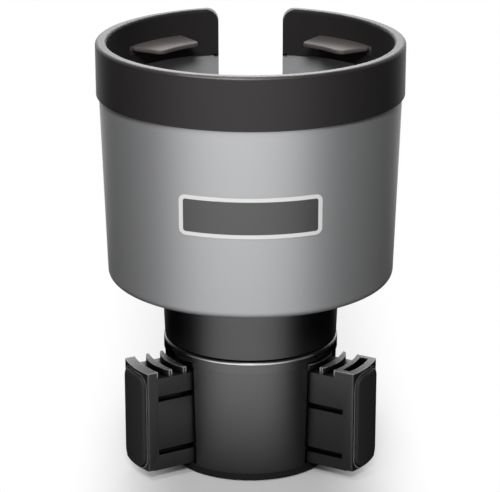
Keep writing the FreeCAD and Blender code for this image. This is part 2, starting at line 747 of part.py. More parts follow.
def main():
    """Build every piece and write it."""
    os.makedirs("parts", exist_ok=True)
    write("foot_pad", foot_pad())
    write("bottom_cover", bottom_cover())
    write("cover_screws", screws(cover_screw, cover_z + cover_screw["high"] + screw_recess_extra, 1.0))
    write("base_housing", base_housing())
    write("thrust_washer", thrust_washer())
    write("spindle_screw", spindle_screw())
    write("spindle_washer", spindle_washer())
    for side, azimuth in leg_azimuths.items():
        write("leg_" + side, leg(azimuth))
        write("leg_pad_" + side, leg_pad(azimuth))
    write("scroll_plate", scroll_plate())
    write("scroll_screws", screws(scroll_screw, neck_floor_top, -1.0))
    write("neck", neck())
    write("cup_screws", screws(cup_screw, cup_screw_seat(), -1.0))
    write("cup_shell", cup_shell())
    write("cup_mat", cup_mat())
    write("front_label", front_label())
    write("rim_collar", rim_collar())
    for number, azimuth in enumerate(flap_azimuths, start=1):
        write("grip_flap_%d" % number, grip_flap(azimuth))


main()
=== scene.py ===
"""Looks for a cup holder expander: a silver cup on a black base with three sliding legs.

Everything is in metres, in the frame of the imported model: the origin is the middle of the foot's
underside, +Z is up and -Y is the front, where the bare label is.
"""

import json
import logging
import math
from collections.abc import Callable
from dataclasses import dataclass
from enum import Enum
from functools import partial

import bmesh
import bpy
import numpy as np
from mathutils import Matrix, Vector


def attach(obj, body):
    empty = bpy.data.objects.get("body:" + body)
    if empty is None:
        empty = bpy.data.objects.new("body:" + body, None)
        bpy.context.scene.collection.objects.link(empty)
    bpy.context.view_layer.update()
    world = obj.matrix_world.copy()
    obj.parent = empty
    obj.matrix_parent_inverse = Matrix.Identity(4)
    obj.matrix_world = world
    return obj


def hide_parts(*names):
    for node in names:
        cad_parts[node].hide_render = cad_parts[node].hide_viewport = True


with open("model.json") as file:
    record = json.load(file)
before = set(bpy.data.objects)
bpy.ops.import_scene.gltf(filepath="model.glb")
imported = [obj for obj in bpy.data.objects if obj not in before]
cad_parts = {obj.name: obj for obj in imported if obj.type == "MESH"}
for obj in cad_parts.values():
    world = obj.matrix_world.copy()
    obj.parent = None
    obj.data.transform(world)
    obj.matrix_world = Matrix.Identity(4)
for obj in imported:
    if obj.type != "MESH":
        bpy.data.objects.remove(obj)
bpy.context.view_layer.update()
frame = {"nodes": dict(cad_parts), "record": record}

log = logging.getLogger("cup_holder_expander")
MM = 0.001
SOFT_SHADING = 60.0  # degrees under which the faces of a soft piece shade as one

Socket = bpy.types.NodeSocket
Pair = tuple[float, float]
Triple = tuple[float, float, float]
WHITE: Triple = (1.0, 1.0, 1.0)


class Slot(Enum):
    """The record's material slots, each of which has one finish here."""

    CUP_SILVER = "cup_silver"
    COLLAR_BLACK = "collar_black"
    NECK_BLACK = "neck_black"
    BASE_BLACK = "base_black"
    COVER_BLACK = "cover_black"
    LEG_BLACK = "leg_black"
    INNER_BLACK = "inner_black"
    FLAP_RUBBER = "flap_rubber"
    PAD_RUBBER = "pad_rubber"
    SOFT_RUBBER = "soft_rubber"
    LABEL_FACE = "label_face"
    WASHER_NYLON = "washer_nylon"
    SCREW_STEEL = "screw_steel"


class Sheet:
    """Adds and links the nodes of one shader tree."""

    MIX_INPUTS = (0, 6, 7)  # a Mix node's factor and its two colours
    MIX_OUTPUT = 2

    def __init__(self, tree: bpy.types.NodeTree) -> None:
        """Keep the node tree of a material, a world or a group."""
        self.tree = tree

    @classmethod
    def fresh(cls, owner: bpy.types.Material | bpy.types.World) -> "Sheet":
        """Empty the shader tree of a material or a world.

        Args:
            owner: the material or world.

        Returns:
            The sheet of its tree.
        """
        owner.use_nodes = True
        owner.node_tree.nodes.clear()
        return cls(owner.node_tree)

    def add(self, kind: str, **values: object) -> bpy.types.Node:
        """Add a node, and set its properties and unlinked inputs.

        Args:
            kind: the node's type name without the ShaderNode prefix.
            values: a property of the node, or the name of an input with _ for a blank.

        Returns:
            The new node.
        """
        node = self.tree.nodes.new("ShaderNode" + kind)
        for key, value in values.items():
            if hasattr(node, key):
                setattr(node, key, value)
            else:
                self.feed(node.inputs[key.replace("_", " ")], value)
        return node

    def group(self, group: bpy.types.NodeTree, **values: object) -> bpy.types.NodeOutputs:
        """Place a shader group with its own values.

        Args:
            group: the group to place.
            values: the group's inputs by name.

        Returns:
            The outputs of the group's node.
        """
        node = self.add("Group", node_tree=group)
        for name, value in values.items():
            self.feed(node.inputs[name], value)
        return node.outputs

    def feed(self, socket: Socket, value: object) -> None:
        """Link a socket to a socket, or set it to a plain value, where a colour is opaque.

        Args:
            socket: the input.
            value: socket, number or three numbers.
        """
        if isinstance(value, Socket):
            self.tree.links.new(value, socket)
        elif socket.type == "RGBA":
            socket.default_value = (*value, 1.0)
        else:
            socket.default_value = value

    def _fill(self, node: bpy.types.Node, *values: object) -> bpy.types.NodeOutputs:
        """Feed a node's inputs in order, and give its outputs."""
        for socket, value in zip(node.inputs, values):
            self.feed(socket, value)
        return node.outputs

    def math(self, operation: str, a: object, b: object = 0.0, c: object = 0.0,
             clamp: bool = False) -> Socket:
        """Add a Math node.

        Args:
            operation: the node's operation.
            a: first number or socket.
            b: second number or socket.
            c: third number or socket.
            clamp: whether the result is kept between 0 and 1.

        Returns:
            The node's output.
        """
        return self._fill(self.add("Math", operation=operation, use_clamp=clamp), a, b, c)[0]

    def product(self, first: object, *others: object) -> Socket:
        """Multiply numbers and sockets."""
        for other in others:
            first = self.math("MULTIPLY", first, other)
        return first

    def hypot(self, a: Socket, b: Socket) -> Socket:
        """Add the nodes for sqrt(a^2 + b^2)."""
        return self.math("SQRT", self.math("MULTIPLY_ADD", a, a, self.math("MULTIPLY", b, b)))

    def vector(self, operation: str, *values: object) -> bpy.types.NodeOutputs:
        """Add a Vector Math node.

        Args:
            operation: the node's operation.
            values: its inputs in order.

        Returns:
            The node's outputs.
        """
        return self._fill(self.add("VectorMath", operation=operation), *values)

    def axes(self, vector: Socket) -> tuple[Socket, ...]:
        """Split a vector into its three coordinates."""
        return tuple(self.add("SeparateXYZ", Vector=vector).outputs)

    def normal(self) -> Socket:
        """Add the surface's normal."""
        return self.add("NewGeometry").outputs["Normal"]

    def ramp(self, value: object, low: float, high: float, to_low: float = 0.0,
             to_high: float = 1.0) -> Socket:
        """Map a value smoothly from one range to another.

        Args:
            value: number or socket to map.
            low: where the rise starts.
            high: where the rise ends.
            to_low: result at and below low.
            to_high: result at and above high.

        Returns:
            The mapped value's socket.
        """
        node = self.add("MapRange", interpolation_type="SMOOTHSTEP")
        for name, number in (("Value", value), ("From Min", low), ("From Max", high),
                             ("To Min", to_low), ("To Max", to_high)):
            self.feed(node.inputs[name], number)
        return node.outputs["Result"]

    def step(self, value: object, middle: float, softness: float, before: float = 0.0,
             after: float = 1.0) -> Socket:
        """Change softly from one number to another where a value passes a middle.

        Args:
            value: number or socket.
            middle: where the change is half done.
            softness: half its width.
            before: result below it.
            after: result above it.

        Returns:
            The result's socket.
        """
        return self.ramp(value, middle - softness, middle + softness, before, after)

    def mix(self, factor: object, first: object, second: object) -> Socket:
        """Mix two colours by a factor.

        Args:
            factor: share of the second colour.
            first: colour or socket at 0.
            second: colour or socket at 1.

        Returns:
            The mixed colour's socket.
        """
        node = self.add("Mix", data_type="RGBA")
        for place, value in zip(self.MIX_INPUTS, (factor, first, second)):
            self.feed(node.inputs[place], value)
        return node.outputs[self.MIX_OUTPUT]

    def blend(self, factor: Socket, first: Socket, second: Socket) -> Socket:
        """Mix two shaders by a factor.

        Args:
            factor: share of the second shader.
            first: shader at 0.
            second: shader at 1.

        Returns:
            The mixed shader's socket.
        """
        return self._fill(self.add("MixShader"), factor, first, second)[0]

    def end(self, kind: str, surface: Socket) -> None:
        """Send a shader to the output node, of the kind Material or World."""
        self.add("Output" + kind, Surface=surface)


class GroupKit:
    """Shader node groups that several finishes share, each built once."""

    DRIFT_DETAIL = 3.0
    DRIFT_ROUGHNESS = 0.55
    CLOUD_FINENESS = 1.9
    CLOUD_DETAIL = 2.0
    CLOUD_WEIGHT = 0.6
    SPECKLE_RANGE = (0.52, 0.72)
    EDGE_SAMPLES = 6
    EDGE_RANGE = (0.01, 0.15)
    CREVICE_SAMPLES = 8
    CREVICE_RANGE = (0.32, 0.90)

    def __init__(self) -> None:
        """Build the groups."""
        self.drift = self._drift()
        self.grain = self._grain()
        self.edges = self._edges()
        self.crevice_shade = self._crevice_shade()

    @staticmethod
    def _new(name: str, inputs: dict[str, str], outputs: dict[str, str]
             ) -> tuple[Sheet, bpy.types.NodeOutputs, bpy.types.NodeInputs]:
        """Start a group with its sockets.

        Args:
            name: the group's name.
            inputs: input names and their short socket types.
            outputs: output names and their short socket types.

        Returns:
            The group's sheet, the sockets that bring its inputs and those that take its outputs.
        """
        group = bpy.data.node_groups.new(name, "ShaderNodeTree")
        for side, sockets in (("INPUT", inputs), ("OUTPUT", outputs)):
            for label, kind in sockets.items():
                group.interface.new_socket(label, in_out=side, socket_type="NodeSocket" + kind)
        start = group.nodes.new("NodeGroupInput")
        end = group.nodes.new("NodeGroupOutput")
        return Sheet(group), start.outputs, end.inputs

    def _drift(self) -> bpy.types.NodeTree:
        """Slow wander of tone: colour times 1 + amount (noise - 1/2), roughness likewise."""
        sheet, given, result = self._new(
            "tone_drift",
            {"Vector": "Vector", "Color": "Color", "Roughness": "Float", "Amount": "Float",
             "Scale": "Float"},
            {"Color": "Color", "Roughness": "Float"})
        noise = sheet.add("TexNoise", Vector=given["Vector"], Scale=given["Scale"],
                          Detail=self.DRIFT_DETAIL, Roughness=self.DRIFT_ROUGHNESS)
        swing = sheet.math("SUBTRACT", noise.outputs[0], 0.5)
        gain = sheet.math("MULTIPLY_ADD", swing, given["Amount"], 1.0)
        tinted = sheet.add("VectorMath", operation="SCALE", Scale=gain)
        sheet.feed(tinted.inputs[0], given["Color"])
        sheet.feed(result["Color"], tinted.outputs[0])
        rough = sheet.math("MULTIPLY", given["Roughness"], gain, clamp=True)
        sheet.feed(result["Roughness"], rough)
        return sheet.tree

    def _grain(self) -> bpy.types.NodeTree:
        """Moulded grain: the sum of a fine cell noise and a finer cloud noise, as a height."""
        sheet, given, result = self._new(
            "moulded_grain", {"Vector": "Vector", "Scale": "Float", "Softness": "Float"},
            {"Height": "Float", "Speckle": "Float"})
        cells = sheet.add("TexVoronoi", Vector=given["Vector"], Scale=given["Scale"],
                          feature="SMOOTH_F1", Smoothness=given["Softness"])
        finer = sheet.math("MULTIPLY", given["Scale"], self.CLOUD_FINENESS)
        cloud = sheet.add("TexNoise", Vector=given["Vector"], Scale=finer, Detail=self.CLOUD_DETAIL)
        height = sheet.math("MULTIPLY_ADD", cloud.outputs[0], self.CLOUD_WEIGHT,
                            cells.outputs["Distance"])
        sheet.feed(result["Height"], height)
        sheet.feed(result["Speckle"], sheet.ramp(cloud.outputs[0], *self.SPECKLE_RANGE))
        return sheet.tree

    def _edges(self) -> bpy.types.NodeTree:
        """Edge mask: how far a rounded-over normal turns from the true one, from 0 to 1."""
        sheet, given, result = self._new("edge_mask", {"Radius": "Float"}, {"Mask": "Float"})
        rounded = sheet.add("Bevel", samples=self.EDGE_SAMPLES, Radius=given["Radius"])
        turn = sheet.vector("DOT_PRODUCT", rounded.outputs[0], sheet.normal())["Value"]
        away = sheet.math("SUBTRACT", 1.0, turn)
        sheet.feed(result["Mask"], sheet.ramp(away, *self.EDGE_RANGE))
        return sheet.tree

    def _crevice_shade(self) -> bpy.types.NodeTree:
        """Crevice mask for painted shade: 1 where near surfaces hide most of the sky, 0 in the
        open.
        """
        sheet, given, result = self._new("crevice_shade_mask", {"Distance": "Float"}, {"Mask": "Float"})
        hidden = sheet.add("AmbientOcclusion", samples=self.CREVICE_SAMPLES,
                           Distance=given["Distance"])
        mask = sheet.ramp(hidden.outputs["AO"], *self.CREVICE_RANGE, 1.0, 0.0)
        sheet.feed(result["Mask"], mask)
        return sheet.tree


@dataclass(frozen=True)
class Finish:
    """One moulded, rubber or metal finish.

    speckle, edge_highlight and crevice are the largest shares of their colours. edge_highlight
    paints a highlight on rounded edges, and crevice paints shade into recesses, where the colour is
    dark and the surface rough and metallic, so that its black mirrors nothing. A finish with a
    pattern of its own overrides colour_socket, rough_socket, metal_share or edge_highlight_share.
    They get the material's sheet, the object coordinates as place, and the plain finish's socket.
    """

    slot: Slot
    colour: Triple
    roughness: float
    specular: float = 0.5
    metallic: float = 0.0
    drift: float = 0.06
    drift_size: float = 30.0 * MM
    grain_size: float = 0.5 * MM
    grain_height: float = 0.010 * MM
    grain_softness: float = 0.7
    speckle: float = 0.0
    speckle_colour: Triple = (0.30, 0.30, 0.30)
    # painted highlight on rounded edges: its largest share, mask radius and colour
    edge_highlight: float = 0.0
    edge_radius: float = 0.9 * MM
    edge_highlight_colour: Triple = (0.42, 0.42, 0.42)
    # painted shade in recesses: its largest share, reach and colour
    crevice_shade: float = 0.0
    crevice_shade_size: float = 5.0 * MM
    crevice_shade_colour: Triple = (0.001, 0.001, 0.001)

    def material(self, kit: GroupKit) -> bpy.types.Material:
        """Build the finish's material.

        Args:
            kit: the shared shader groups.

        Returns:
            The new material.
        """
        material = bpy.data.materials.new(self.slot.value)
        sheet = Sheet.fresh(material)
        place = sheet.add("TexCoord").outputs["Object"]
        drift = sheet.group(kit.drift, Vector=place, Color=self.colour, Roughness=self.roughness,
                            Amount=self.drift, Scale=1.0 / self.drift_size)
        grain = sheet.group(kit.grain, Vector=place, Scale=1.0 / self.grain_size,
                            Softness=self.grain_softness)
        colour = self.colour_socket(sheet, place, drift["Color"])
        rough = self.rough_socket(sheet, drift["Roughness"])
        metal = self.metal_share(sheet, place)
        if self.speckle:
            share = sheet.product(grain["Speckle"], self.speckle)
            colour = sheet.mix(share, colour, self.speckle_colour)
        # painted highlight on rounded edges
        if self.edge_highlight:
            edge = sheet.group(kit.edges, Radius=self.edge_radius)["Mask"]
            share = sheet.product(edge, self.edge_highlight_share(sheet, place))
            colour = sheet.mix(share, colour, self.edge_highlight_colour)
        # painted shade in recesses: dark colour, rough and metallic, so that it mirrors nothing
        if self.crevice_shade:
            deep = sheet.group(kit.crevice_shade, Distance=self.crevice_shade_size)["Mask"]
            share = sheet.product(deep, self.crevice_shade)
            colour = sheet.mix(share, colour, self.crevice_shade_colour)
            rough = sheet.math("MAXIMUM", rough, share)
            metal = sheet.math("MAXIMUM", metal, share)
        bump = sheet.add("Bump", Strength=1.0, Distance=self.grain_height, Height=grain["Height"])
        shader = sheet.add("BsdfPrincipled", Base_Color=colour, Roughness=rough, Metallic=metal,
                           Specular_IOR_Level=self.specular, Normal=bump.outputs[0])
        sheet.end("Material", shader.outputs[0])
        return material

    def colour_socket(self, sheet: Sheet, place: Socket, plain: Socket) -> Socket:
        """Colour over the whole surface, where a finish has a pattern of its own."""
        return plain

    def rough_socket(self, sheet: Sheet, plain: Socket) -> Socket:
        """Roughness over the whole surface, where a finish has more than one."""
        return plain

    def metal_share(self, sheet: Sheet, place: Socket) -> object:
        """How metallic the surface is, as a number or a socket."""
        return self.metallic

    def edge_highlight_share(self, sheet: Sheet, place: Socket) -> object:
        """How strongly edges take the painted highlight colour, as a number or a socket."""
        return self.edge_highlight


@dataclass(frozen=True)
class LabelFinish(Finish):
    """Dark label film with a light border that follows its rounded outline."""

    half_width: float = 25.4 * MM
    half_height: float = 7.55 * MM
    middle_height: float = 111.9 * MM
    corner: float = 2.4 * MM
    border: float = 1.45 * MM
    softness: float = 0.12 * MM
    border_colour: Triple = (0.50, 0.50, 0.50)

    def colour_socket(self, sheet: Sheet, place: Socket, plain: Socket) -> Socket:
        """Border where the distance to the outline is under the border's width.

        The distance inside a rounded rectangle is r - |max(q, 0)| - min(max(qx, qz), 0), with
        q = (|x| - (half width - r), |z - middle| - (half height - r)) and r the corner's radius.
        """
        x, _, z = sheet.axes(place)
        height = sheet.math("SUBTRACT", z, self.middle_height)
        across = sheet.math("SUBTRACT", sheet.math("ABSOLUTE", x), self.half_width - self.corner)
        along = sheet.math("SUBTRACT", sheet.math("ABSOLUTE", height),
                           self.half_height - self.corner)
        outer = sheet.hypot(sheet.math("MAXIMUM", along, 0.0), sheet.math("MAXIMUM", across, 0.0))
        inner = sheet.math("MINIMUM", sheet.math("MAXIMUM", across, along), 0.0)
        inside = sheet.math("SUBTRACT", self.corner, sheet.math("ADD", outer, inner))
        mask = sheet.step(inside, self.border, self.softness, 1.0, 0.0)
        return sheet.mix(mask, plain, self.border_colour)


@dataclass(frozen=True)
class FlapFinish(Finish):
    """Rubber whose root, in the shade under the blades, has painted shade that makes it darker than
    their tops.
    """

    root_height: float = 152.6 * MM
    softness: float = 0.3 * MM
    root_shade_colour: Triple = (0.010, 0.010, 0.010)

    def colour_socket(self, sheet: Sheet, place: Socket, plain: Socket) -> Socket:
        """Painted shade colour below the blades' undersides, the plain colour above them."""
        height = sheet.axes(place)[2]
        mask = sheet.step(height, self.root_height, self.softness)
        return sheet.mix(mask, self.root_shade_colour, plain)


@dataclass(frozen=True)
class CupFinish(Finish):
    """Silver coat on the cup's outside, and the same grey without metal sheen on its inside."""

    turn: float = 0.2

    def metal_share(self, sheet: Sheet, place: Socket) -> object:
        """Metal share that ends where a face looks towards the upright axis.

        A face looks outwards where its normal n and its place p have (n.x p.x + n.y p.y) / |p|
        over 0, with p taken in the level plane. The share changes within turn of 0.
        """
        level = sheet.vector("MULTIPLY", place, (1.0, 1.0, 0.0))[0]
        outward = sheet.vector("NORMALIZE", level)[0]
        facing = sheet.vector("DOT_PRODUCT", outward, sheet.normal())["Value"]
        return sheet.product(sheet.step(facing, 0.0, self.turn), self.metallic)


@dataclass(frozen=True)
class LegFinish(Finish):
    """Black plastic with painted highlights on the teeth and the outer upright edges, and rougher
    on top.

    A face looks up where its normal's height passes from up_start to up_full.
    """

    tooth_height: float = 42.0 * MM
    edge_reach: float = 48.4 * MM
    softness: float = 0.8 * MM
    up_start: float = 0.4
    up_full: float = 0.9
    top_share: float = 0.35
    top_roughness: float = 0.48

    def edge_highlight_share(self, sheet: Sheet, place: Socket) -> object:
        """Painted edge highlight above the teeth's feet and past a reach, less on faces that look
        up.
        """
        x, y, z = sheet.axes(place)
        tooth = sheet.step(z, self.tooth_height, self.softness)
        outer = sheet.step(sheet.hypot(x, y), self.edge_reach, self.softness)
        side = self._upward(sheet, 1.0, self.top_share)
        return sheet.product(sheet.math("MAXIMUM", tooth, outer), side, self.edge_highlight)

    def rough_socket(self, sheet: Sheet, plain: Socket) -> Socket:
        """The plain roughness, but a rougher one on faces that look up."""
        return sheet.math("MAXIMUM", plain, self._upward(sheet, 0.0, self.top_roughness))

    def _upward(self, sheet: Sheet, elsewhere: float, upward: float) -> Socket:
        """One number on faces that look up, and another elsewhere."""
        return sheet.ramp(sheet.axes(sheet.normal())[2], self.up_start, self.up_full, elsewhere,
                          upward)


@dataclass(frozen=True)
class LipHighlightFinish(Finish):
    """Black plastic with a painted highlight, a lighter metallic band, round the front of its top
    edge.

    lip_top is the edge's height, lip_low and lip_high say how far below it the painted highlight
    ends and starts, and the highlight fades in from lip_start to lip_full along -Y.
    """

    lip_top: float = 48.9 * MM
    lip_low: float = 1.14 * MM
    lip_high: float = 0.60 * MM
    lip_softness: float = 0.12 * MM
    lip_start: float = -22.0 * MM
    lip_full: float = -30.0 * MM
    lip_highlight_colour: Triple = (0.36, 0.36, 0.36)

    def colour_socket(self, sheet: Sheet, place: Socket, plain: Socket) -> Socket:
        """Painted highlight colour on the lip, the plain colour elsewhere."""
        return sheet.mix(self._lip_highlight(sheet, place), plain, self.lip_highlight_colour)

    def metal_share(self, sheet: Sheet, place: Socket) -> object:
        """Metallic on the lip, part of the painted highlight: it brightens the lip's reflection."""
        return self._lip_highlight(sheet, place)

    def _lip_highlight(self, sheet: Sheet, place: Socket) -> Socket:
        """Mask of the painted lip highlight: a band of heights, at the front."""
        _, y, z = sheet.axes(place)
        above = sheet.step(z, self.lip_top - self.lip_low, self.lip_softness)
        below = sheet.step(z, self.lip_top - self.lip_high, self.lip_softness, 1.0, 0.0)
        front = sheet.ramp(y, self.lip_full, self.lip_start, 1.0, 0.0)
        return sheet.product(above, below, front)


FINISHES = (
    CupFinish(Slot.CUP_SILVER, (0.208, 0.210, 0.214), 0.47, metallic=0.45, drift=0.02,
              grain_height=0.002 * MM),
    # collar: painted highlight on the front of its top edge
    LipHighlightFinish(Slot.COLLAR_BLACK, (0.014, 0.0128, 0.0128), 0.50, specular=0.14,
              grain_height=0.004 * MM, lip_top=163.5 * MM, lip_low=0.9 * MM, lip_high=0.0,
              lip_start=-16.0 * MM, lip_full=-52.0 * MM, lip_highlight_colour=(0.08, 0.074, 0.074)),
    # neck: painted shade in its recesses
    Finish(Slot.NECK_BLACK, (0.005, 0.005, 0.0052), 0.36, specular=0.53,
           grain_height=0.004 * MM, crevice_shade=0.95),
    # base: painted highlight on the front of its top edge, and painted shade in its recesses
    LipHighlightFinish(Slot.BASE_BLACK, (0.005, 0.005, 0.0052), 0.34, specular=0.72,
              grain_height=0.004 * MM, crevice_shade=0.95, crevice_shade_size=7.0 * MM),
    Finish(Slot.COVER_BLACK, (0.004, 0.004, 0.0042), 0.7, specular=0.2, grain_height=0.006 * MM),
    # legs: painted highlights on teeth and outer edges, and painted shade in their recesses
    LegFinish(Slot.LEG_BLACK, (0.007, 0.007, 0.0072), 0.35, specular=0.32, grain_size=0.4 * MM,
              speckle=0.05, edge_highlight=0.8, crevice_shade=1.0, crevice_shade_size=6.0 * MM),
    Finish(Slot.INNER_BLACK, (0.01, 0.01, 0.0105), 0.5, grain_size=0.6 * MM),
    FlapFinish(Slot.FLAP_RUBBER, (0.052, 0.044, 0.042), 0.65, grain_size=0.6 * MM,
               grain_height=0.006 * MM),
    Finish(Slot.PAD_RUBBER, (0.017, 0.0158, 0.0158), 0.6, specular=0.12),
    Finish(Slot.SOFT_RUBBER, (0.028, 0.028, 0.029), 0.8, grain_height=0.015 * MM),
    LabelFinish(Slot.LABEL_FACE, (0.022, 0.022, 0.023), 0.45, specular=0.4, grain_size=0.6 * MM,
                grain_height=0.001 * MM),
    Finish(Slot.WASHER_NYLON, (0.75, 0.75, 0.72), 0.5, grain_size=0.6 * MM),
    Finish(Slot.SCREW_STEEL, (0.60, 0.60, 0.61), 0.32, metallic=1.0, grain_size=0.4 * MM,
           grain_height=0.002 * MM),
)


@dataclass(frozen=True)
class Lamp:
    """A soft rectangular lamp that faces the middle of the object."""

    name: str
    place: Triple
    width: float
    height: float
    watts: float


LAMPS = (
    Lamp("high_lamp", (-0.30, -0.45, 1.00), 0.22, 0.22, 3.5),
    Lamp("front_lamp", (-0.03, -0.95, 0.80), 0.30, 0.20, 14.0),
    Lamp("rear_lamp", (0.0, 1.05, 0.75), 0.50, 0.30, 6.0),
)


@dataclass(frozen=True)
class Sector:
    """A sector round the upright axis, in degrees.

    middle counts from the front towards +X. The sector is full to the half angle inner, and ends at
    the half angle outer.
    """

    middle: float
    inner: float
    outer: float


@dataclass
class Studio:
    """Floor, lights, world and the camera of the photograph.

    Round the object the camera sees a painted shadow: the floor's grey diffuse tone with its real
    shadow in it, where elsewhere the floor is plain white. The painted shadow ends to the sides
    within fade, gets paler behind within rear_fade, and ends behind within white and in front
    within near_white. Glossy surfaces see the sky sector above the floor and the panel and back
    sectors on it, where the brightness changes with the distance from the middle within near, far
    and rear.
    """

    frame_width: int = 500
    camera_pitch: float = math.radians(18.70)
    camera_distance: float = 0.8195
    target_height: float = 0.08317
    focal_pixels: float = 2158.8
    axis_offset_pixels: float = 0.6
    sensor_width: float = 36.0
    clip_start: float = 0.01
    clip_end: float = 20.0
    floor_half_size: float = 3.0
    floor_drop: float = 0.1 * MM
    floor_shade_tone: float = 0.42
    floor_bounce: float = 0.30
    fade: Pair = (0.022, 0.070)
    rear_fade: Pair = (0.0, 0.09)
    rear_share: float = 0.28
    white: Pair = (0.15, 0.28)
    near_white: Pair = (-0.13, -0.05)
    panel: Sector = Sector(-7.0, 2.0, 67.0)
    panel_strength: float = 0.4
    room_strength: float = 0.01
    soft_room: float = 0.20
    sky: Sector = Sector(180.0, 15.0, 55.0)
    sky_strength: float = 3.2
    near: Pair = (0.02, 0.16)
    near_dim: float = 0.15
    near_glow: float = 2.7
    far: Pair = (0.28, 0.50)
    far_gain: float = 2.15
    back: Sector = Sector(180.0, 5.0, 52.0)
    rear: Pair = (0.10, 0.45)
    rear_glow: float = 2.2
    least_length: float = 1e-5

    def build(self) -> None:
        """Make everything that isn't part of the object."""
        self._camera()
        self._floor()
        self._world()
        for lamp in LAMPS:
            self._lamp(lamp)
        bpy.context.scene.view_settings.view_transform = "Standard"

    def _camera(self) -> None:
        """Camera on the -Y side, looking down at the object's middle."""
        data = bpy.data.cameras.new("camera")
        data.sensor_fit = "HORIZONTAL"
        data.sensor_width = self.sensor_width
        data.lens = self.focal_pixels * self.sensor_width / self.frame_width
        data.shift_x = -self.axis_offset_pixels / self.frame_width
        data.clip_start = self.clip_start
        data.clip_end = self.clip_end
        camera = bpy.data.objects.new("camera", data)
        target = Vector((0.0, 0.0, self.target_height))
        back = Vector((0.0, -math.cos(self.camera_pitch), math.sin(self.camera_pitch)))
        camera.location = target + back * self.camera_distance
        camera.rotation_euler = (-back).to_track_quat("-Z", "Y").to_euler()
        bpy.context.scene.collection.objects.link(camera)
        bpy.context.scene.camera = camera

    def _towards(self, sheet: Sheet, vector: Socket, sector: Sector) -> Socket:
        """Soft mask of a sector.

        The cosine of the angle from the sector's middle a is (x sin a - y cos a) / sqrt(x^2 + y^2).

        Args:
            sheet: the sheet that gets the nodes.
            vector: direction or place.
            sector: the sector.

        Returns:
            The mask's socket.
        """
        x, y, _ = sheet.axes(vector)
        azimuth, inner, outer = map(math.radians, (sector.middle, sector.inner, sector.outer))
        length = sheet.math("MAXIMUM", sheet.hypot(x, y), self.least_length)
        along = sheet.math("MULTIPLY_ADD", x, math.sin(azimuth),
                           sheet.math("MULTIPLY", y, -math.cos(azimuth)))
        return sheet.ramp(sheet.math("DIVIDE", along, length), math.cos(outer), math.cos(inner))

    @staticmethod
    def _eye(sheet: Sheet, path: bpy.types.NodeOutputs) -> Socket:
        """1 for what the camera sees, also through glass, from the Light Path's outputs."""
        return sheet.math("MAXIMUM", path["Is Camera Ray"], path["Is Transmission Ray"])

    def _floor(self) -> None:
        """Pale floor with a painted shadow round the object that holds its real shadow, and open to
        a camera below it.
        """
        size = self.floor_half_size
        mesh = bpy.data.meshes.new("floor")
        corners = [(-size, -size, 0.0), (size, -size, 0.0), (size, size, 0.0), (-size, size, 0.0)]
        mesh.from_pydata(corners, [], [(0, 1, 2, 3)])
        floor = bpy.data.objects.new("floor", mesh)
        floor.location.z = -self.floor_drop
        bpy.context.scene.collection.objects.link(floor)
        mesh.materials.append(self._floor_material())

    def _floor_material(self) -> bpy.types.Material:
        """Diffuse in the painted shadow and for soft light, emission elsewhere and for glossy
        surfaces.
        """
        material = bpy.data.materials.new("pale_floor")
        sheet = Sheet.fresh(material)
        path = sheet.add("LightPath").outputs
        place = sheet.add("TexCoord").outputs["Object"]
        eye, glossy = self._eye(sheet, path), path["Is Glossy Ray"]
        # painted shadow: the camera sees the grey diffuse floor round the object, white further off
        seen = sheet.product(eye, sheet.math("SUBTRACT", 1.0, self._shaded(sheet, place)))
        over = sheet.math("SUBTRACT", self._mirrored(sheet, place), 1.0)
        strength = sheet.math("MULTIPLY_ADD", glossy, over, 1.0)
        tone = sheet.mix(eye, (self.floor_bounce,) * 3, (self.floor_shade_tone,) * 3)
        plain = sheet.add("BsdfDiffuse", Color=tone).outputs[0]
        white = sheet.add("Emission", Strength=strength).outputs[0]
        above = sheet.blend(sheet.math("MAXIMUM", seen, glossy), plain, white)
        below = sheet.product(sheet.add("NewGeometry").outputs["Backfacing"],
                              path["Is Camera Ray"])
        open_below = sheet.blend(below, above, sheet.add("BsdfTransparent").outputs[0])
        sheet.end("Material", open_below)
        return material

    def _shaded(self, sheet: Sheet, place: Socket) -> Socket:
        """1 in the painted shadow, with the floor's real shadow in it, 0 far from the object."""
        x, y, _ = sheet.axes(place)
        aside = sheet.ramp(sheet.math("ABSOLUTE", x), *self.fade, 1.0, 0.0)
        behind = sheet.ramp(y, *self.rear_fade, 1.0, self.rear_share)
        distant = sheet.ramp(y, *self.white, 1.0, 0.0)
        before = sheet.ramp(y, *self.near_white)
        return sheet.product(aside, behind, distant, before)

    def _mirrored(self, sheet: Sheet, place: Socket) -> Socket:
        """How bright glossy surfaces see the floor: a sector in front and one behind."""
        reach = sheet.vector("LENGTH", place)["Value"]
        near = sheet.ramp(reach, *self.near, self.near_dim, self.near_glow)
        far = sheet.ramp(reach, *self.far, 1.0, self.far_gain)
        rear = sheet.ramp(reach, *self.rear, 0.0, self.rear_glow)
        front = sheet.product(self._towards(sheet, place, self.panel), near, far)
        return sheet.math("ADD", front, sheet.product(self._towards(sheet, place, self.back), rear))

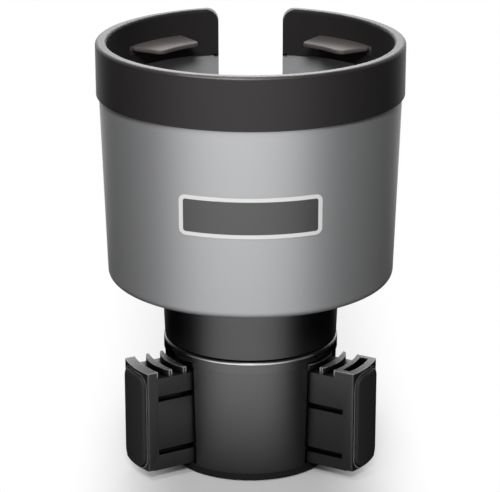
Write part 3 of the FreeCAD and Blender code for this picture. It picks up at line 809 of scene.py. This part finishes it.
    def _world(self) -> None:
        """A broad soft panel in front and a dim room, with a sky behind that only glossy surfaces
        see, all white to the camera."""
        world = bpy.data.worlds.new("studio")
        bpy.context.scene.world = world
        sheet = Sheet.fresh(world)
        direction = sheet.add("TexCoord").outputs["Generated"]
        path = sheet.add("LightPath").outputs
        panel = self._towards(sheet, direction, self.panel)
        rear = self._towards(sheet, direction, self.sky)
        room = sheet.math("MULTIPLY_ADD", path["Is Diffuse Ray"], self.soft_room,
                          self.room_strength)
        light = sheet.math("MULTIPLY_ADD", panel, self.panel_strength, room)
        light = sheet.math("MAXIMUM", light,
                           sheet.product(rear, self.sky_strength, path["Is Glossy Ray"]))
        dark = sheet.math("SUBTRACT", 1.0, light)
        strength = sheet.math("MULTIPLY_ADD", self._eye(sheet, path), dark, light)
        sky = sheet.add("Background", Color=WHITE, Strength=strength)
        sheet.end("World", sky.outputs[0])

    def _lamp(self, lamp: Lamp) -> None:
        """Add a lamp."""
        data = bpy.data.lights.new(lamp.name, "AREA")
        data.shape = "RECTANGLE"
        data.size = lamp.width
        data.size_y = lamp.height
        data.energy = lamp.watts
        light = bpy.data.objects.new(lamp.name, data)
        light.location = lamp.place
        away = Vector(lamp.place) - Vector((0.0, 0.0, self.target_height))
        light.rotation_euler = away.to_track_quat("Z", "Y").to_euler()
        bpy.context.scene.collection.objects.link(light)


def rounded_loop(half_width: float, low: float, high: float, corner: float, inset: float,
                 steps: int) -> np.ndarray:
    """Rounded rectangle drawn in by an inset, as a loop of points counter-clockwise.

    Each corner is its centre + (corner - inset) (cos a, sin a) over a quarter turn of a, and each
    side is divided evenly between two corners.

    Args:
        half_width: half the rectangle's width, along the first coordinate.
        low: its lower side's second coordinate.
        high: its upper side's second coordinate.
        corner: radius of its corners.
        inset: how far the loop lies inside it.
        steps: points on each corner and on each side.

    Returns:
        Array of 8 x steps points x 2.
    """
    x_middle, y_low, y_high = half_width - corner, low + corner, high - corner
    centres = np.array([(x_middle, y_high), (-x_middle, y_high), (-x_middle, y_low),
                        (x_middle, y_low)])
    angles = np.radians(90.0 * np.arange(4)[:, None] + np.linspace(0.0, 90.0, steps))
    arcs = centres[:, None] + (corner - inset) * np.stack([np.cos(angles), np.sin(angles)], axis=-1)
    shares = np.linspace(0.0, 1.0, steps + 2)[1:-1, None]
    sides = arcs[:, -1:] + shares * (np.roll(arcs, -1, axis=0)[:, :1] - arcs[:, -1:])
    return np.concatenate([arcs, sides], axis=1).reshape(-1, 2)


def plate(loop_at: Callable[[float], np.ndarray], levels: list[Pair], rows: int) -> np.ndarray:
    """Closed plate between a back and a front face.

    Its rim is loop_at(inset) at each level's depth. A face's points are middle + t (loop - middle),
    with t from 0 at the face's middle to 1 at its rim.

    Args:
        loop_at: gives the outline drawn in by an inset.
        levels: (inset, depth) of each rim loop, from the back face to the front face.
        rows: rows of points on each face.

    Returns:
        Array of rows x columns x 3, of (first, second, depth).
    """
    flat = [(loop_at(inset), depth) for inset, depth in levels]
    rim = np.stack([np.column_stack([loop, np.full(len(loop), depth)]) for loop, depth in flat])
    shares = np.linspace(0.0, 1.0, rows, endpoint=False)[:, None, None]
    back_middle, front_middle = rim[0].mean(axis=0), rim[-1].mean(axis=0)
    back = back_middle + shares * (rim[0] - back_middle)
    front = front_middle + shares[::-1] * (rim[-1] - front_middle)
    grid = np.concatenate([back, rim, front])
    return np.concatenate([grid, grid[:, :1]], axis=1)


def rim_levels(depth: float, back_round: float, front_round: float, steps: int = 6) -> list[Pair]:
    """Levels of a plate whose back and front edges are quarter circles.

    The back's are (r (1 - sin a), r (1 - cos a)) and the front's are (r (1 - cos a), depth -
    r (1 - sin a)), with a from 0 to a quarter turn.

    Args:
        depth: the plate's thickness.
        back_round: radius of the back edge.
        front_round: radius of the front edge.
        steps: loops on each edge.

    Returns:
        The (inset, depth) pairs, from back to front.
    """
    turn = np.linspace(0.0, math.pi / 2.0, steps)
    rise, fall = 1.0 - np.cos(turn), 1.0 - np.sin(turn)
    back = np.column_stack([back_round * fall, back_round * rise])
    front = np.column_stack([front_round * rise, depth - front_round * fall])
    return [tuple(pair) for pair in np.concatenate([back, front])]


def lathe(profile: np.ndarray, columns: int = 192) -> np.ndarray:
    """Surface of revolution: (r, z) becomes (r cos a, r sin a, z) for a whole turn of a.

    Args:
        profile: array of points x 2, from the axis to the axis.
        columns: steps round the turn.

    Returns:
        Array of points x columns + 1 x 3.
    """
    turn = np.linspace(0.0, 2.0 * math.pi, columns + 1)
    radius, height = profile[:, :1], profile[:, 1:]
    return np.stack([radius * np.cos(turn), radius * np.sin(turn), height + 0.0 * turn], axis=-1)


def eased(profile: list[Pair], radius: float, steps: int = 5, most: float = 0.45) -> np.ndarray:
    """Round each inner corner of an open profile.

    A corner p with unit directions u and v to its neighbours becomes the curve
    p + k ((1 - t)^2 u + t^2 v), t from 0 to 1, where k is the radius or a share of the shorter
    side.

    Args:
        profile: the corners.
        radius: how far from the corner the rounding starts.
        steps: points on each rounding.
        most: largest share of a side that a rounding takes.

    Returns:
        Array of points x 2.
    """
    points = np.array(profile)
    middle, before, after = points[1:-1], points[:-2], points[2:]
    span_in = np.linalg.norm(before - middle, axis=1, keepdims=True)
    span_out = np.linalg.norm(after - middle, axis=1, keepdims=True)
    reach = np.minimum(radius, most * np.minimum(span_in, span_out))[:, None]
    t = np.linspace(0.0, 1.0, steps)[None, :, None]
    back, ahead = ((before - middle) / span_in)[:, None], ((after - middle) / span_out)[:, None]
    curve = (middle[:, None] + reach * ((1.0 - t) ** 2 * back + t ** 2 * ahead)).reshape(-1, 2)
    return np.concatenate([points[:1], curve, points[-1:]])


def turned(points: np.ndarray, degrees: float) -> np.ndarray:
    """Turn points about the upright axis: (x cos a - y sin a, x sin a + y cos a, z)."""
    angle = math.radians(degrees)
    cos, sin = math.cos(angle), math.sin(angle)
    x, y, z = points[..., 0], points[..., 1], points[..., 2]
    return np.stack([x * cos - y * sin, x * sin + y * cos, z], axis=-1)


class Workshop:
    """Makes meshes and hangs them on their bodies with their finishes."""

    SURFACE_MERGE = 1e-7
    CAD_MERGE = 1e-6
    CAD_FLAT_ANGLE = 0.05

    def __init__(self, finishes: dict[Slot, bpy.types.Material]) -> None:
        """Keep the material of each slot."""
        self.finishes = finishes
        rows = frame["record"]["subparts"]
        self.slot_of = {row["node"]: Slot(row["material_slot"]) for row in rows}

    def dress(self, *nodes: str) -> None:
        """Give CAD nodes the finish of their slot."""
        for name in nodes:
            for place in frame["nodes"][name].material_slots:
                place.material = self.finishes[self.slot_of[name]]
            log.info("dressed %s", name)

    def surface(self, name: str, patches: list[np.ndarray], body: str, nodes: tuple[str, ...],
                smooth_angle: float = 40.0) -> None:
        """Make one closed piece from grids of points.

        Each patch is an array of rows x columns x 3. Neighbouring points form quads, patches are
        merged where their rims meet, and the normals are turned outwards.

        Args:
            name: the piece's name.
            patches: the grids.
            body: the body it rides on.
            nodes: the CAD nodes that it stands for. The first gives its finish.
            smooth_angle: faces that meet at less than this many degrees shade as one.
        """
        points, quads, start = [], [], 0
        for patch in patches:
            rows, columns = patch.shape[:2]
            index = start + np.arange(rows * columns).reshape(rows, columns)
            quads.append(np.stack([index[:-1, :-1], index[:-1, 1:], index[1:, 1:], index[1:, :-1]],
                                  axis=-1).reshape(-1, 4))
            points.append(patch.reshape(-1, 3))
            start += rows * columns
        mesh = bpy.data.meshes.new(name)
        mesh.from_pydata(np.concatenate(points).tolist(), [], np.concatenate(quads).tolist())
        self._close(mesh, self.SURFACE_MERGE)
        self.hang(mesh, body, nodes, smooth_angle)

    def softened(self, node: str, body: str, width: float, segments: int = 2,
                 smooth_angle: float = 35.0) -> None:
        """Copy a CAD node, merge it to clean faces and round its sharp edges.

        Args:
            node: the CAD node.
            body: the body it rides on.
            width: the edge rounding's width.
            segments: how many strips the rounding has.
            smooth_angle: edges that turn more than this many degrees are rounded.
        """
        mesh = frame["nodes"][node].data.copy()
        mesh.name = node + "_moulding"
        self._close(mesh, self.CAD_MERGE, self.CAD_FLAT_ANGLE)
        piece = self.hang(mesh, body, (node,), smooth_angle)
        bevel = piece.modifiers.new("edge_rounding", "BEVEL")
        bevel.width = width
        bevel.segments = segments
        bevel.limit_method = "ANGLE"
        bevel.angle_limit = math.radians(smooth_angle)
        bevel.use_clamp_overlap = True
        bevel.harden_normals = True

    @staticmethod
    def _close(mesh: bpy.types.Mesh, merge: float, flat_angle: float = 0.0) -> None:
        """Merge doubled points, drop empty faces and turn the normals outwards.

        Args:
            mesh: the mesh to clean.
            merge: distance under which points become one.
            flat_angle: faces that meet at less than this many degrees become one, if not zero.
        """
        work = bmesh.new()
        work.from_mesh(mesh)
        bmesh.ops.remove_doubles(work, verts=work.verts, dist=merge)
        bmesh.ops.dissolve_degenerate(work, edges=work.edges, dist=merge)
        if flat_angle:
            bmesh.ops.dissolve_limit(work, angle_limit=math.radians(flat_angle), verts=work.verts,
                                     edges=work.edges, use_dissolve_boundaries=False)
        bmesh.ops.recalc_face_normals(work, faces=work.faces)
        work.to_mesh(mesh)
        work.free()

    def hang(self, mesh: bpy.types.Mesh, body: str, nodes: tuple[str, ...],
             smooth_angle: float) -> bpy.types.Object:
        """Make a mesh a piece of the object, in place of its CAD nodes.

        Args:
            mesh: the finished mesh.
            body: the body it rides on.
            nodes: the CAD nodes that it stands for. The first gives its finish.
            smooth_angle: faces that meet at less than this many degrees shade as one.

        Returns:
            The new object.
        """
        slot = self.slot_of[nodes[0]]
        mesh.materials.clear()
        mesh.materials.append(self.finishes[slot])
        mesh.polygons.foreach_set("use_smooth", [True] * len(mesh.polygons))
        mesh.set_sharp_from_angle(angle=math.radians(smooth_angle))
        piece = bpy.data.objects.new(mesh.name, mesh)
        bpy.context.scene.collection.objects.link(piece)
        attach(piece, body)
        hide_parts(*nodes)
        log.info("made %s, %d faces, on %s", piece.name, len(mesh.polygons), body)
        return piece


@dataclass
class GripFlaps:
    """The four soft flaps that lean into the cup's mouth from the collar's skirt."""

    azimuths: tuple[float, ...] = (45.0, 135.0, 225.0, 315.0)
    half_angle: float = math.radians(15.0)
    tip_radius: float = 38.5 * MM
    blade_end: float = 53.6 * MM
    skirt_inner: float = 53.02 * MM
    skirt_outer: float = 54.18 * MM
    top: float = 154.3 * MM
    thickness: float = 1.7 * MM
    root_low: float = 150.42 * MM
    corner: float = 3.0 * MM
    edge_round: float = 0.55 * MM
    root_round: float = 0.15 * MM
    root_corner: float = 0.4 * MM
    root_gap: float = 0.03 * MM

    def build(self, shop: Workshop) -> None:
        """Make each flap as a thin blade with rounded edges, over a root strip in the skirt."""
        blade = self._blade()
        strip = self._root()
        for number, azimuth in enumerate(self.azimuths, start=1):
            node = f"grip_flap_{number}"
            patches = [turned(blade, azimuth), turned(strip, azimuth)]
            shop.surface(f"soft_flap_{number}", patches, "cup", (node,), SOFT_SHADING)

    def _blade(self) -> np.ndarray:
        """Blade along +X.

        Its outline is a rounded rectangle of (s, r), which lies at the angle s / tip radius and the
        radius r, so that its sides run along radii.
        """
        half = self.half_angle * self.tip_radius
        outline = partial(rounded_loop, half, self.tip_radius, self.blade_end, self.corner,
                          steps=14)
        grid = plate(outline, rim_levels(self.thickness, self.edge_round, self.edge_round), rows=10)
        angle, radius = grid[..., 0] / self.tip_radius, grid[..., 1]
        height = self.top - self.thickness + grid[..., 2]
        return np.stack([radius * np.cos(angle), -radius * np.sin(angle), height], axis=-1)

    def _root(self) -> np.ndarray:
        """Root strip along +X, which fills the skirt's window."""
        half = self.half_angle * self.skirt_inner - self.root_gap
        outline = partial(rounded_loop, half, self.root_low, self.top - self.root_gap,
                          self.root_corner, steps=8)
        depth = self.skirt_outer - self.skirt_inner
        grid = plate(outline, rim_levels(depth, self.root_round, self.root_round, steps=3), rows=4)
        angle, radius = grid[..., 0] / self.skirt_inner, self.skirt_outer - grid[..., 2]
        return np.stack([radius * np.cos(angle), radius * np.sin(angle), grid[..., 1]], axis=-1)


@dataclass
class LegPads:
    """The rubber pad in each leg's outer face."""

    azimuths: tuple[tuple[str, float], ...] = (("left", 210.0), ("right", 330.0), ("rear", 90.0))
    half_width: float = 7.7 * MM
    low: float = 5.1 * MM
    high: float = 42.0 * MM
    corner: float = 4.0 * MM
    seat_radius: float = 34.1 * MM
    thickness: float = 1.8 * MM
    face_centre: float = 15.7 * MM
    back_round: float = 0.1 * MM
    front_round: float = 0.75 * MM

    def build(self, shop: Workshop) -> None:
        """Make each pad as a rounded plate that follows the leg's arched face.

        A point (y, z, depth) lies at x = face centre + sqrt((seat radius + depth)^2 - y^2).
        """
        outline = partial(rounded_loop, self.half_width, self.low, self.high, self.corner, steps=12)
        levels = rim_levels(self.thickness, self.back_round, self.front_round)
        grid = plate(outline, levels, rows=14)
        across, height, depth = grid[..., 0], grid[..., 1], grid[..., 2]
        radial = self.face_centre + np.sqrt((self.seat_radius + depth) ** 2 - across ** 2)
        pad = np.stack([radial, across, height], axis=-1)
        for side, azimuth in self.azimuths:
            shop.surface(f"rubber_pad_{side}", [turned(pad, azimuth)], f"{side}_leg",
                         (f"leg_pad_{side}",), SOFT_SHADING)


@dataclass
class SoftDiscs:
    """The mat on the cup's floor and the non-slip foot under the base."""

    mat_radius: float = 49.55 * MM
    mat_low: float = 76.1 * MM
    mat_high: float = 78.1 * MM
    groove_starts: tuple[float, ...] = (37.0 * MM, 43.0 * MM)
    groove_width: float = 1.4 * MM
    groove_depth: float = 0.6 * MM
    foot_radius: float = 21.5 * MM
    foot_high: float = 1.0 * MM
    foot_grooves: tuple[float, ...] = (15.0 * MM, 18.0 * MM)
    foot_groove_depth: float = 0.25 * MM
    edge_round: float = 0.3 * MM

    def build(self, shop: Workshop) -> None:
        """Make the mat and the foot as surfaces of revolution with rounded edges."""
        mat = [(0.0, self.mat_low), (self.mat_radius, self.mat_low),
               (self.mat_radius, self.mat_high)]
        for start in reversed(self.groove_starts):
            mat += self._groove(start + self.groove_width, start, self.mat_high, -self.groove_depth)
        mat.append((0.0, self.mat_high))
        foot = [(0.0, 0.0)]
        for start in self.foot_grooves:
            foot += self._groove(start, start + self.groove_width, 0.0, self.foot_groove_depth)
        foot += [(self.foot_radius, 0.0), (self.foot_radius, self.foot_high), (0.0, self.foot_high)]
        shop.surface("floor_mat", [lathe(eased(mat, self.edge_round))], "cup", ("cup_mat",))
        shop.surface("rubber_foot", [lathe(eased(foot, self.edge_round))], "base", ("foot_pad",))

    @staticmethod
    def _groove(first: float, second: float, height: float, rise: float) -> list[Pair]:
        """Profile corners of a square groove between two radii, entered at the first."""
        return [(first, height), (first, height + rise), (second, height + rise), (second, height)]


@dataclass
class Mouldings:
    """The rigid mouldings, whose sharp edges get the small rounding that a mould leaves."""

    legs: tuple[str, ...] = ("left", "right", "rear")
    leg_edge: float = 0.45 * MM

    def build(self, shop: Workshop) -> None:
        """Round the edges of the pieces that are seen closely."""
        for side in self.legs:
            shop.softened(f"leg_{side}", f"{side}_leg", self.leg_edge)


def main() -> None:
    """Build the studio and the object."""
    logging.basicConfig(level=logging.INFO, format="%(message)s")
    kit = GroupKit()
    shop = Workshop({finish.slot: finish.material(kit) for finish in FINISHES})
    Studio().build()
    shop.dress(*frame["nodes"])
    for assembly in (Mouldings(), GripFlaps(), LegPads(), SoftDiscs()):
        assembly.build(shop)


if __name__ == "__main__":
    main()
